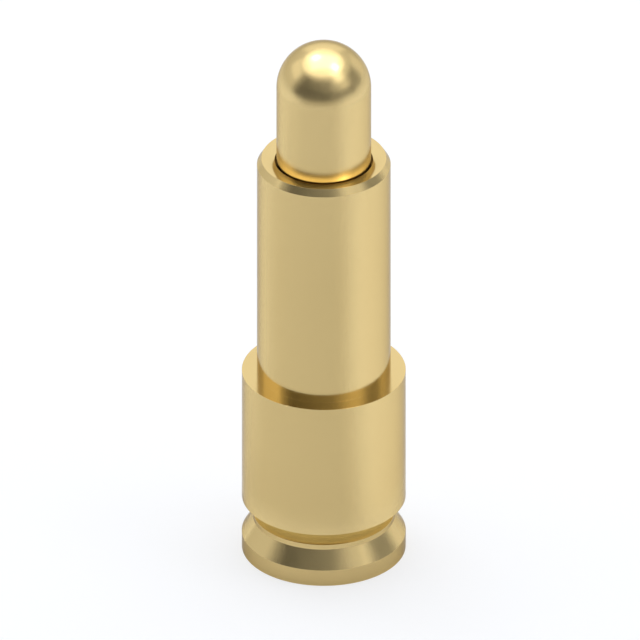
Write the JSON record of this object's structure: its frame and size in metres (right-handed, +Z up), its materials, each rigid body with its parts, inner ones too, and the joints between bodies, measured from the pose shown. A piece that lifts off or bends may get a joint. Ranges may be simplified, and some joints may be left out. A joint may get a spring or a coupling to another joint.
{
  "type": "pogo pin",
  "caption": "Spring-loaded contact pin: a turned, gold-plated barrel with a soldering foot, a sprung plunger with a round tip, and a swaged lip that holds it.",
  "frame": {"origin": "centre of the foot's flat underside, which is soldered to the board", "axes": "+Z up the pin's axis, towards the contact tip"},
  "size_m": [0.0018, 0.0018, 0.0065],
  "materials": {
    "gold_plated_barrel": "turned brass, gold-plated, satin bright",
    "gold_plated_plunger": "turned and burnished brass, gold-plated, bright",
    "spring_wire": "drawn stainless spring wire, gold-flashed"
  },
  "bodies": {
    "barrel": {"barrel": "gold_plated_barrel", "spring": "spring_wire"},
    "plunger": {"plunger": "gold_plated_plunger"}
  },
  "joints": [
    {"name": "plunger_travel", "type": "slide", "parent": "barrel", "child": "plunger", "axis": [0, 0, -1], "range_m": [0, 0.0014], "stiffness_N_per_m": 470, "springref_m": -0.0005, "deforming": ["spring"]}
  ]
}
